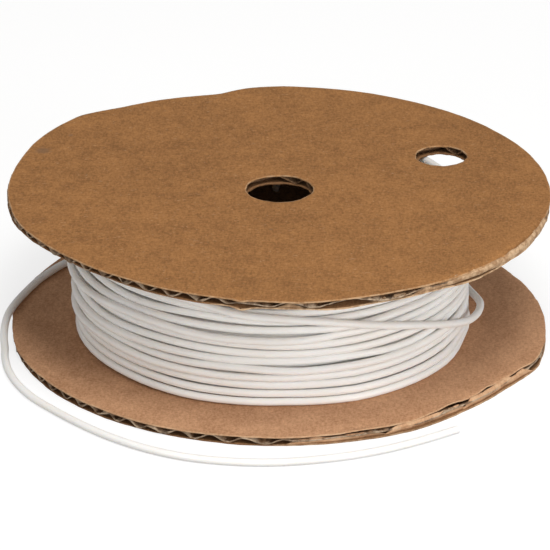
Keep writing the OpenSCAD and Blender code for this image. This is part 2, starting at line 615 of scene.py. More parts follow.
@dataclass
class Studio:
    """The camera, the pale floor and the soft lights."""

    elevation: float = 24.2
    distance: float = 1400.0
    target: tuple[float, float, float] = (-0.7, 0.0, 15.4)
    lens: float = 352.8
    sensor: float = 36.0

    def build(self) -> None:
        """Makes the camera, floor, lights and surroundings."""
        self.place_camera()
        self.lay_floor()
        self.light_area("key", (100, -355, 830), 400, 4.9, (1.0, 0.99, 0.975))
        self.light_area("side", (674, -600, 190), 350, 3.8, (1.0, 0.99, 0.98))
        self.light_area("fill", (-480, -740, 150), 400, 2.1, (1.0, 0.99, 0.975))
        self.surround(0.32)

    def place_camera(self) -> None:
        """Makes the camera and hands it to the scene."""
        data = bpy.data.cameras.new("camera")
        data.lens = self.lens
        data.sensor_width = self.sensor
        data.clip_start, data.clip_end = 0.05, 20.0
        camera = bpy.data.objects.new("camera", data)
        aim = Vector(self.target) * MM
        slope = math.radians(self.elevation)
        camera.location = aim + Vector((0, -math.cos(slope), math.sin(slope))) * self.distance * MM
        camera.rotation_euler = (math.pi / 2 - slope, 0, 0)
        bpy.context.scene.collection.objects.link(camera)
        bpy.context.scene.camera = camera

    def lay_floor(self) -> None:
        """Makes the floor, which looks white but throws little of its glow onto the reel."""
        reach, drop = 12000.0, -0.02
        corners = [(-reach, -reach, drop), (reach, -reach, drop), (reach, reach, drop), (-reach, reach, drop)]
        floor = new_piece("floor", np.array(corners), [(0, 1, 2, 3)])
        tree, shader, _, material = new_material("pale_floor")
        seen = tree.node("ShaderNodeLightPath").outputs["Is Camera Ray"]
        tree.fill(shader, {
            "Base Color": (0.32, 0.32, 0.32, 1),
            "Roughness": 0.9,
            "Specular IOR Level": 0.0,
            "Emission Color": (1, 1, 1, 1),
            "Emission Strength": tree.remap(seen, 0.0, 1.0, 0.14, 0.74),
        })
        # Seen from under itself the floor is clear, so that the underside shows
        clear = tree.out("ShaderNodeBsdfTransparent")
        behind = tree.node("ShaderNodeNewGeometry").outputs["Backfacing"]
        both = tree.out("ShaderNodeMixShader", {0: behind, 1: shader.outputs[0], 2: clear})
        ending = next(n for n in tree.tree.nodes if n.type == "OUTPUT_MATERIAL")
        tree.fill(ending, {"Surface": both})
        floor.data.materials.append(material)

    def light_area(
        self, name: str, place: tuple[float, float, float], size: float, power: float,
        colour: tuple[float, float, float],
    ) -> None:
        """Makes a square soft light that faces the reel.

        Args:
            name: The light's name.
            place: Where it stands, in millimetres.
            size: Its side.
            power: Its power in watts.
            colour: Its colour.
        """
        data = bpy.data.lights.new(name, "AREA")
        data.size = size * MM
        data.energy = power
        data.color = colour
        light = bpy.data.objects.new(name, data)
        light.location = Vector(place) * MM
        light.rotation_euler = (Vector((0, 0, 0.02)) - light.location).to_track_quat("-Z", "Y").to_euler()
        bpy.context.scene.collection.objects.link(light)

    def surround(self, strength: float) -> None:
        """Makes the even white surroundings.

        Args:
            strength: How bright they are.
        """
        world = bpy.data.worlds.new("surroundings")
        bpy.context.scene.world = world
        world.use_nodes = True
        backdrop = world.node_tree.nodes["Background"]
        backdrop.inputs["Color"].default_value = (1.0, 0.99, 0.975, 1)
        backdrop.inputs["Strength"].default_value = strength
        bpy.context.scene.view_settings.view_transform = "Standard"


# ---------------------------------------------------------------- the string


def tube_group() -> bpy.types.NodeTree:
    """Makes the geometry tree that turns a polyline into a round closed tube.

    Returns:
        The tree.
    """
    tree = new_group(
        "string_tube", "GeometryNodeTree",
        [
            ("Route", "NodeSocketGeometry", None), ("Thickness", "NodeSocketFloat", 0.002),
            ("Sides", "NodeSocketInt", 12), ("Finish", "NodeSocketMaterial", None),
        ],
        [("String", "NodeSocketGeometry")],
    )
    given = tree.node("NodeGroupInput").outputs
    place = tree.node("GeometryNodeSplineParameter").outputs
    curve = tree.out("GeometryNodeMeshToCurve", {0: given["Route"]})
    half = tree.math("DIVIDE", given["Thickness"], 2.0)
    ring = {"Resolution": given["Sides"], "Radius": half}
    profile = tree.out("GeometryNodeCurvePrimitiveCircle", ring, mode="RADIUS")
    marked = []
    for geometry, label, value in ((curve, "along", place["Length"]), (profile, "around", place["Factor"])):
        stored = {"Geometry": geometry, "Name": label, "Value": value}
        marked.append(tree.out("GeometryNodeStoreNamedAttribute", stored, data_type="FLOAT", domain="POINT"))
    sweep = {"Curve": marked[0], "Profile Curve": marked[1], "Fill Caps": True}
    tube = tree.out("GeometryNodeCurveToMesh", sweep)
    smooth = tree.out("GeometryNodeSetShadeSmooth", {"Geometry": tube, "Shade Smooth": True})
    tree.node("NodeGroupOutput", {"String": tree.dressed(smooth, given["Finish"])})
    return tree.tree


@dataclass
class WoundString:
    """The one length of string: inner end, wound layers, loose turn and free end.

    All sizes are in millimetres. Angles run anticlockwise seen from above, from +X, in degrees.
    """

    centre: np.ndarray
    core_radius: float
    low: float
    high: float
    thickness: float = 1.9
    # How much thicker the string is drawn than it is laid
    swell: float = 1.05
    hidden_layers: int = 4
    hidden_steps: int = 930
    outer_steps: int = 1071
    start_angle: float = 104.0
    start_height: float = 35.5
    # Steps in a turn, how many a strand bridges on each side, and how it sags there
    steps: int = 72
    bridge: int = 8
    sag: float = 0.014
    riser_sag: float = 0.05
    # How much each strand wanders up and down, and the outer ones together
    wander: float = 0.10
    outer_wander: float = 0.09
    shared_wander: float = 0.38
    # Past this radius the loose string is clear of the winding
    clear_radius: float = 58.0
    # How steeply the string comes down where it leaves the winding, in mm for each degree
    leaving_slope: float = -0.16
    inner_end: tuple = (
        (0.7, 34.6, 24.9), (1.2, 34.6, 26.6), (1.6, 34.6, 28.6), (1.7, 34.8, 30.8), (1.4, 35.2, 32.8),
        (0.8, 35.9, 34.3), (-0.2, 36.8, 35.2), (-1.6, 38.0, 35.5), (-3.3, 39.4, 35.5), (-5.0, 40.8, 35.5),
    )
    loose_turn: tuple = (
        (-116, 53.7, 30.9), (-101, 53.5, 28.2), (-86, 53.2, 26.9), (-72, 52.8, 24.8), (-59, 52.4, 21.8),
        (-46, 52.0, 18.3), (-33, 51.9, 14.4), (-22, 52.2, 11.2), (-14, 52.6, 9.7), (-7.5, 52.7, 8.8),
        (0, 52.7, 7.5), (9, 52.7, 5.3), (17, 52.9, 4.0), (26, 53.5, 3.5), (36, 54.3, 3.5), (54, 55.1, 3.5),
        (72, 56.0, 3.5), (90, 57.4, 3.5), (108, 59.8, 3.5), (124, 62.0, 3.5), (137, 64.1, 3.5),
        (148, 66.0, 3.5), (158, 67.2, 3.5), (168, 68.3, 3.5), (176, 69.8, 3.5), (182, 70.8, 3.3),
        (187, 71.5, 2.1), (192, 72.0, 1.1),
    )
    free_end: tuple = (
        (-70.3, -19, 1), (-69.1, -27, 1), (-66.6, -35, 1), (-62.6, -43, 1), (-57, -50.5, 1), (-50.6, -58, 1),
        (-43, -65.6, 1), (-34, -72.4, 1), (-24, -77.5, 1), (-13, -80.3, 1), (-1, -81, 1), (12, -78.9, 1),
        (24, -74.9, 1), (35, -69, 1), (45, -62.2, 1),
    )
    # The turn that climbs back over the outer layer: angle and height
    riser: tuple = (
        (298, 3.35), (392, 3.4), (404, 5.4), (418, 9.6), (443, 17.4), (474, 24.8), (506, 30.2),
        (540, 33.0), (575, 33.0), (604, 30.9),
    )
    # How far out the lowest strand lies, loose on the lower disc, as angle and radius
    slack: tuple = (
        (184, 48.0), (196, 49.5), (225, 50.2), (250, 51.2), (278, 50.6), (298, 52.0), (325, 51.6),
        (335, 51.3), (350, 50.0), (360, 48.0),
    )
    # How much nearer the core the strands above it lie, one after another
    slack_less: tuple = (0.0, 0.4, 1.0, 1.6)
    # Where a strand of the outer layer strays: turn, from, to, and how far up
    strays: tuple = (
        (8, 185, 240, -0.8), (11, 190, 235, 0.7), (6, 200, 255, 1.0), (5, -70, -20, 0.9),
        (9, -70, -25, -0.8), (10, -120, -80, 0.6), (4, 205, 250, -0.8),
    )

    @property
    def hidden_points(self) -> int:
        """The number of steps in the hidden layers."""
        return self.hidden_layers * self.hidden_steps

    def nominal_heights(self) -> np.ndarray:
        """Gives the height of each point of the winding, layer after layer.

        Returns:
            The heights, a step apart in angle.
        """
        step = TURN / self.steps
        hidden = self.hidden_points
        climb = round((self.riser[-1][0] - self.riser[0][0]) / step)
        index = np.arange(hidden + self.outer_steps + climb)
        degrees = self.start_angle + index * step
        layer = np.minimum(index // self.hidden_steps, self.hidden_layers)
        outer = layer == self.hidden_layers
        outer_part = (index - hidden) / self.outer_steps
        part = np.where(outer, outer_part, index % self.hidden_steps / self.hidden_steps)
        begin = np.where(layer == 0, self.start_height, self.high)
        down = begin + (self.low - begin) * part
        heights = np.where(layer % 2 == 0, down, self.low + (self.high - self.low) * part)
        heights += self.wandering(np.radians(degrees), outer) * np.clip(4 * part * (1 - part), 0, 1)
        whole = TURN * math.floor((self.start_angle + hidden * step) / TURN)
        begun = self.start_angle + hidden * step - whole
        for turn, first, last, rise in self.strays:
            opens = first % TURN + TURN * (turn + (first % TURN < begun))
            share = (degrees - whole - opens) / (last - first)
            hump = rise * np.sin(np.pi * np.clip(share, 0, 1)) ** 2
            heights += np.where(outer & (share > 0) & (share < 1), hump, 0.0)
        late = index >= hidden + self.outer_steps
        turns, climbs = zip(*self.riser)
        heights[late] = np.interp(turns[0] + step * np.arange(1, late.sum() + 1), turns, climbs)
        return np.clip(heights, self.low, self.high)

    def wandering(self, angle: np.ndarray, outer: np.ndarray) -> np.ndarray:
        """Gives how far each point wanders from its even place in the layer.

        Args:
            angle: The points' angles in radians.
            outer: Which of them are in the outer layer.

        Returns:
            The rises in millimetres.
        """
        slow, quick = np.sin(0.618 * angle + 1.0), np.sin(3.21 * angle + 0.4)
        own = slow + 0.7 * np.sin(1.73 * angle + 2.2) + 0.5 * quick
        together = np.sin(2 * angle + 0.8) + 0.6 * np.sin(3 * angle + 2.0)
        alone = own * np.where(outer, self.outer_wander, self.wander)
        return alone + together * np.where(outer, self.shared_wander, 0.0)

    def needed(self, strands: list, height: float) -> float:
        """Gives the smallest radius at which the string clears what is under it.

        Args:
            strands: Height and radius of each strand already there at this angle.
            height: The string's height.

        Returns:
            The radius of its centre.
        """
        floor = self.core_radius + self.thickness / 2
        if not strands:
            return floor
        laid = np.array(strands)
        apart = np.abs(laid[:, 0] - height)
        near = apart < self.thickness
        if not near.any():
            return floor
        return max(floor, float((laid[near, 1] + np.sqrt(self.thickness ** 2 - apart[near] ** 2)).max()))

    def lay(self) -> np.ndarray:
        """Lays the whole string, each turn on what is already under it.

        Returns:
            The points of its centreline in millimetres.
        """
        heights = self.nominal_heights()
        count = len(heights)
        strands: list[list] = [[] for _ in range(self.steps)]
        need = np.zeros(count)
        radii = np.zeros(count)
        reach = np.arange(-self.bridge, self.bridge + 1)
        drop = self.sag * reach ** 2
        riser_start = self.riser[0][0]
        after = np.arange(count) - self.hidden_points - self.outer_steps + 1
        degrees = riser_start + after * TURN / self.steps
        loose = self.slack_radii(degrees)
        ready = 0
        for i in range(count):
            while ready < min(count, i + self.bridge + 1):
                need[ready] = self.needed(strands[ready % self.steps], heights[ready])
                ready += 1
            inside = (i + reach >= 0) & (i + reach < count)
            spare = drop[inside] * (self.riser_sag / self.sag if degrees[i] > riser_start else 1.0)
            radii[i] = max(loose[i], (need[(i + reach)[inside]] - spare).max())
            strands[i % self.steps].append((heights[i], radii[i]))
        angle = np.radians(self.start_angle) + np.arange(count) * 2 * np.pi / self.steps
        wound = np.column_stack([turned(radii, angle), heights])
        lead = catmull_rom(np.vstack([self.inner_end, wound[1]]), 1.6)[:-1]
        ending = self.loose_part(strands, angle[-1], radii[-1], heights[-1])
        centred = np.vstack([lead, wound[1:], ending])
        return centred + np.array([self.centre[0], self.centre[1], 0])

    def slack_radii(self, degrees: np.ndarray) -> np.ndarray:
        """Gives how far out the slack puts each point of the winding at least.

        Args:
            degrees: Angles, counted so that the lowest turn lies from 0 to 360.

        Returns:
            The radii, at or below 0 where there is no slack.
        """
        places, outs = zip(*self.slack)
        put = [
            np.interp(degrees + TURN * back, places, outs, left=0.0, right=0.0) - less
            for back, less in enumerate(self.slack_less)
        ]
        return np.max(put, axis=0)

    def loose_part(self, strands: list, angle: float, radius: float, height: float) -> np.ndarray:
        """Lays the last turn over the winding, and the free end.

        Args:
            strands: Height and radius of the strands at each angle.
            angle: Where the winding ends, in radians.
            radius: Its last radius.
            height: Its last height.

        Returns:
            The points from there on, from the core's axis.
        """
        degrees, radii, levels = np.array(self.loose_turn, float).T
        turn = np.column_stack([turned(radii, np.radians(degrees)), levels])
        axis = np.array([self.centre[0], self.centre[1], 0])
        path = catmull_rom(np.vstack([turn, self.free_end]), 2.2) - axis
        first = path[0]
        gap = (math.atan2(first[1], first[0]) - angle) % (2 * math.pi)
        t = np.linspace(0, 1, max(3, round(gap * radius / 3)))[1:-1]
        later = -2 * t ** 3 + 3 * t ** 2
        leaving = (t ** 3 - t ** 2) * self.leaving_slope * math.degrees(gap)
        z = (2 * t ** 3 - 3 * t ** 2 + 1) * height + later * first[2] + leaving
        r = radius + (math.hypot(first[0], first[1]) - radius) * smoothstep(t)
        whole = np.vstack([np.column_stack([turned(r, angle + gap * t), z]), path])
        polar = np.hypot(whole[:, 0], whole[:, 1])
        close = polar < self.clear_radius
        turns = np.degrees(np.arctan2(whole[:, 1], whole[:, 0])) - self.start_angle
        bins = np.round(turns * self.steps / TURN).astype(int) % self.steps
        need = [self.needed(strands[b], h) if c else 0 for b, h, c in zip(bins, whole[:, 2], close)]
        last = len(need) - 1
        reach = range(-self.bridge, self.bridge + 1)
        lifted = np.array([
            max(need[min(max(i + k, 0), last)] - self.sag * k * k for k in reach) for i in range(len(need))
        ])
        whole[:, :2] *= (np.maximum(polar, np.where(close, lifted, 0)) / polar)[:, None]
        return whole

    def build(self, finish: SatinPlastic) -> Thing:
        """Args:
            finish: Its material.

        Returns:
            The string.
        """
        route = self.lay()
        mesh = bpy.data.meshes.new("wound_string")
        mesh.from_pydata((route * MM).tolist(), [(i, i + 1) for i in range(len(route) - 1)], [])
        obj = bpy.data.objects.new("wound_string", mesh)
        bpy.context.scene.collection.objects.link(obj)
        material = finish.build()
        drawn = self.thickness * self.swell * MM
        run_geometry(obj, shared_group("string_tube"), {"Thickness": drawn, "Sides": 16, "Finish": material})
        finish_piece(obj, material, "white_string", "string_winding", "string_loose_end", "string_inner_end")
        return obj


# ---------------------------------------------------------------- corrugated board


@dataclass(frozen=True)
class Outline:
    """The hand-cut outline of one layer: angle and radius where it bends, and its raggedness."""

    bends: tuple[tuple[float, float], ...]
    ragged: float = 0.12
    seed: int = 1

    def radius(self, degrees: np.ndarray) -> np.ndarray:
        """Gives the outline's radius at each angle.

        Args:
            degrees: The angles.

        Returns:
            The radii in millimetres.
        """
        known = sorted((a % TURN, r) for a, r in self.bends)
        angles = np.array([a for a, _ in known])
        radii = np.array([r for _, r in known])
        fine = np.arange(0, 720) / 2
        base = np.interp(fine, angles, radii, period=TURN)
        kernel = np.exp(-0.5 * (np.arange(-8, 9) / 2.6) ** 2)
        base = np.convolve(np.concatenate([base[-8:], base, base[:8]]), kernel / kernel.sum(), mode="valid")
        smooth = np.interp(np.asarray(degrees) % TURN, fine, base, period=TURN)
        return smooth + self.ragged * ring_noise(degrees, self.seed)


def ring_noise(degrees: np.ndarray, seed: int) -> np.ndarray:
    """Gives a repeatable uneven line around a circle.

    Args:
        degrees: The angles.
        seed: Chooses the line.

    Returns:
        Values around 0, mostly within 1.
    """
    random = np.random.default_rng(seed)
    waves = np.array([5, 9, 14, 23, 37, 58, 91, 140, 210])
    sizes = random.uniform(0.5, 1.0, len(waves)) / np.sqrt(waves / 5)
    starts = random.uniform(0, 2 * np.pi, len(waves))
    a = np.radians(np.asarray(degrees, float))
    return sum(s * np.sin(w * a + p) for w, s, p in zip(waves, sizes, starts))


@dataclass(frozen=True)
class Bend:
    """A place where a layer's edge is pushed up or down: angle, spread, height and reach inwards."""

    angle: float
    spread: float
    rise: float
    reach: float


@dataclass(frozen=True)
class Hole:
    """A round hole through a layer, a little uneven."""

    x: float
    y: float
    radius: float
    ragged: float = 0.08
    seed: int = 3

    def ring(self, spacing: float, grow: float = 0.0) -> np.ndarray:
        """Gives points around the hole.

        Args:
            spacing: The distance between them.
            grow: How far outside the hole's edge they lie.

        Returns:
            The points.
        """
        count = round(2 * math.pi * (self.radius + grow) / spacing)
        degrees = np.arange(count) * TURN / count
        r = self.radius + grow + self.ragged * ring_noise(degrees, self.seed)
        return turned(r, np.radians(degrees)) + np.array([self.x, self.y])

    def depth(self, points: np.ndarray) -> np.ndarray:
        """Gives how far outside the hole's edge each point is.

        Args:
            points: The points.

        Returns:
            The distances, below 0 inside the hole.
        """
        dx, dy = points[:, 0] - self.x, points[:, 1] - self.y
        edge = self.radius + self.ragged * ring_noise(np.degrees(np.arctan2(dy, dx)), self.seed)
        return np.hypot(dx, dy) - edge


@dataclass
class Sheet:
    """One flat layer of paper, cut to an outline with holes, before it is given its height."""

    outline: Outline
    holes: tuple[Hole, ...]
    edge_step: float = 0.6

    def inset(self, points: np.ndarray) -> np.ndarray:
        """Gives how far inside the outline each point is."""
        degrees = np.degrees(np.arctan2(points[:, 1], points[:, 0]))
        return self.outline.radius(degrees) - np.hypot(points[:, 0], points[:, 1])

    def depth(self, points: np.ndarray) -> np.ndarray:
        """Gives how far each point is from the nearest cut edge."""
        return np.min([self.inset(points), *[hole.depth(points) for hole in self.holes]], axis=0)

    def ring(self, spacing: float, inset: float = 0.0) -> np.ndarray:
        """Gives points along the outline.

        Args:
            spacing: The distance between them.
            inset: How far inside it they lie.

        Returns:
            The points.
        """
        count = round(2 * math.pi * DISC_RADIUS / spacing)
        degrees = np.arange(count) * TURN / count
        return turned(self.outline.radius(degrees) - inset, np.radians(degrees))

    def cut(self, inside: np.ndarray) -> tuple[np.ndarray, np.ndarray]:
        """Cuts the sheet into triangles.

        Args:
            inside: Points to use between the edges.

        Returns:
            The points and the triangles, anticlockwise from above.
        """
        loops = [self.ring(self.edge_step), *[hole.ring(self.edge_step) for hole in self.holes]]
        inside = inside[self.depth(inside) > 0.3]
        corners, edges = [], []
        for loop in loops:
            base = sum(len(c) for c in corners)
            corners.append(loop)
            edges += [(base + i, base + (i + 1) % len(loop)) for i in range(len(loop))]
        points = np.vstack([*corners, inside])
        found = delaunay_2d_cdt([Vector(p) for p in points.tolist()], edges, [], 0, 1e-6, False)
        flat = np.array([tuple(v) for v in found[0]])
        triangles = np.array([tuple(f) for f in found[2] if len(f) == 3])
        middle = flat[triangles].mean(axis=1)
        triangles = triangles[self.depth(middle) > -0.02]
        a, b, c = (flat[triangles[:, k]] for k in range(3))
        area = (b[:, 0] - a[:, 0]) * (c[:, 1] - a[:, 1]) - (b[:, 1] - a[:, 1]) * (c[:, 0] - a[:, 0])
        whole = np.abs(area) > 1e-7
        triangles, area = triangles[whole], area[whole]
        triangles[area < 0] = triangles[area < 0][:, ::-1]
        used = np.unique(triangles)
        place = np.full(len(flat), -1)
        place[used] = np.arange(len(used))
        return flat[used], place[triangles]


def shell(
    points: np.ndarray, triangles: np.ndarray, heights: np.ndarray, thickness: float,
) -> tuple[np.ndarray, list, int]:
    """Gives a cut sheet its height and thickness, closed all round.

    Args:
        points: The flat points.
        triangles: The sheet's triangles.
        heights: The height of its underside at each point.
        thickness: The paper's thickness.

    Returns:
        The corners, the faces, and how many of the faces are the two flat sides.
    """
    count = len(points)
    corners = np.vstack([np.column_stack([points, heights + thickness]), np.column_stack([points, heights])])
    directed = np.vstack([triangles[:, [0, 1]], triangles[:, [1, 2]], triangles[:, [2, 0]]])
    known = {(int(a), int(b)) for a, b in directed}
    walls = [(a, a + count, b + count, b) for a, b in known if (b, a) not in known]
    faces = [*triangles.tolist(), *(triangles[:, ::-1] + count).tolist()]
    return corners, [*faces, *sorted(walls)], len(faces)


def medium_group() -> bpy.types.NodeTree:
    """Makes the geometry tree that presses a flat cut sheet into corrugations.

    Returns:
        The tree.
    """
    tree = new_group(
        "corrugated_medium", "GeometryNodeTree",
        [
            ("Sheet", "NodeSocketGeometry", None), ("Pitch", "NodeSocketFloat", 0.006),
            ("Height", "NodeSocketFloat", 0.0018), ("Paper", "NodeSocketFloat", 0.0003),
            ("Run", "NodeSocketFloat", 0.0), ("Uneven", "NodeSocketFloat", 0.0),
            ("Seed", "NodeSocketFloat", 1.0), ("Finish", "NodeSocketMaterial", None),
        ],
        [("Medium", "NodeSocketGeometry")],
    )
    given = tree.node("NodeGroupInput").outputs
    where = tree.out("GeometryNodeInputPosition")
    turn = {"Vector": where, "Angle": tree.times(given["Run"], -1.0)}
    straight = tree.out("ShaderNodeVectorRotate", turn, rotation_type="Z_AXIS")
    across = tree.node("ShaderNodeSeparateXYZ", {0: straight}).outputs[1]
    rough = {"Vector": where, "W": given["Seed"], "Scale": 90.0, "Detail": 2.0}
    noise = tree.out("ShaderNodeTexNoise", rough, noise_dimensions="4D")
    drift = tree.times(tree.minus(noise, 0.5), given["Uneven"])
    phase = tree.times(tree.math("DIVIDE", tree.plus(across, drift), given["Pitch"]), 2 * math.pi)
    # The wave is cut off at its crests, where the medium lies flat on the liners
    wave = tree.times(tree.math("SINE", phase), 1.22)
    wave = tree.math("MAXIMUM", tree.math("MINIMUM", wave, 1.0), -1.0)
    share = tree.times(tree.plus(wave, 1.0), 0.5)
    crush = tree.out("GeometryNodeInputNamedAttribute", {"Name": "crush"}, data_type="FLOAT")
    crushed = tree.times(tree.times(noise, 1.1), crush)
    share = tree.plus(tree.times(share, tree.minus(1.0, crush)), crushed)
    lift = tree.times(share, tree.minus(given["Height"], given["Paper"]))
    offset = tree.out("ShaderNodeCombineXYZ", {2: lift})
    shaped = tree.out("GeometryNodeSetPosition", {"Geometry": given["Sheet"], "Offset": offset})
    thick = {"Mesh": shaped, "Offset Scale": given["Paper"], "Individual": False}
    extruded = tree.out("GeometryNodeExtrudeMesh", thick, mode="FACES")
    under = tree.out("GeometryNodeFlipFaces", {"Mesh": shaped})
    both = tree.node("GeometryNodeJoinGeometry")
    tree.tree.links.new(under, both.inputs[0])
    tree.tree.links.new(extruded, both.inputs[0])
    closed = tree.out("GeometryNodeMergeByDistance", {"Geometry": both.outputs[0], "Distance": 0.000002})
    smooth = tree.out("GeometryNodeSetShadeSmooth", {"Geometry": closed, "Shade Smooth": True})
    tree.node("NodeGroupOutput", {"Medium": tree.dressed(smooth, given["Finish"])})
    return tree.tree


def fibre_group() -> bpy.types.NodeTree:
    """Makes the geometry tree that scatters torn paper fibres along a rim.

    Returns:
        The tree.
    """
    tree = new_group(
        "torn_fibres", "GeometryNodeTree",
        [
            ("Rim", "NodeSocketGeometry", None), ("Count", "NodeSocketInt", 300),
            ("Size", "NodeSocketFloat", 0.0006), ("Seed", "NodeSocketInt", 1),
            ("Finish", "NodeSocketMaterial", None),
        ],
        [("Fibres", "NodeSocketGeometry")],
    )
    given = tree.node("NodeGroupInput").outputs
    seed = given["Seed"]
    spread = {"Mesh": given["Rim"], "Density": 60000.0, "Seed": seed}
    spots = tree.out("GeometryNodeDistributePointsOnFaces", spread, distribute_method="RANDOM")
    limit = {"A": tree.out("GeometryNodeInputIndex"), "B": given["Count"]}
    surplus = tree.out("FunctionNodeCompare", limit, data_type="INT", operation="GREATER_EQUAL")
    few = tree.out("GeometryNodeDeleteGeometry", {"Geometry": spots, "Selection": surplus}, domain="POINT")
    flake = tree.out("GeometryNodeMeshCone", {
        "Vertices": 4, "Side Segments": 2, "Radius Top": 0.00002, "Radius Bottom": 0.00010, "Depth": 0.001,
    })
    turns = {0: (0.9, 0.0, 0.0), 1: (2.2, 0.6, 6.283), "Seed": seed}
    spin = tree.out("FunctionNodeRandomValue", turns, data_type="FLOAT_VECTOR")
    sizes = {2: 0.35, 3: 1.0, "Seed": seed}
    size = tree.node("FunctionNodeRandomValue", sizes, data_type="FLOAT").outputs[1]
    scale = tree.times(size, tree.math("DIVIDE", given["Size"], 0.001))
    placing = {"Points": few, "Instance": flake, "Rotation": spin, "Scale": scale}
    placed = tree.out("GeometryNodeInstanceOnPoints", placing)
    tree.node("NodeGroupOutput", {"Fibres": tree.dressed(placed, given["Finish"])})
    return tree.tree


@dataclass(frozen=True)
class Strip:
    """A torn strip of paper that stands along a rim, from one angle to another.

    out is how far outside the outline it stands, high how high it is, and seed chooses its torn edge.
    """

    begin: float
    end: float
    out: float
    high: float
    seed: int


@dataclass(frozen=True)
class Layer:
    """How one liner is cut and bent, its torn strips, and where its edge isn't frayed."""

    outline: Outline
    holes: tuple[Hole, ...]
    bends: tuple[Bend, ...] = ()
    strips: tuple[Strip, ...] = ()
    clean: Spans = ()


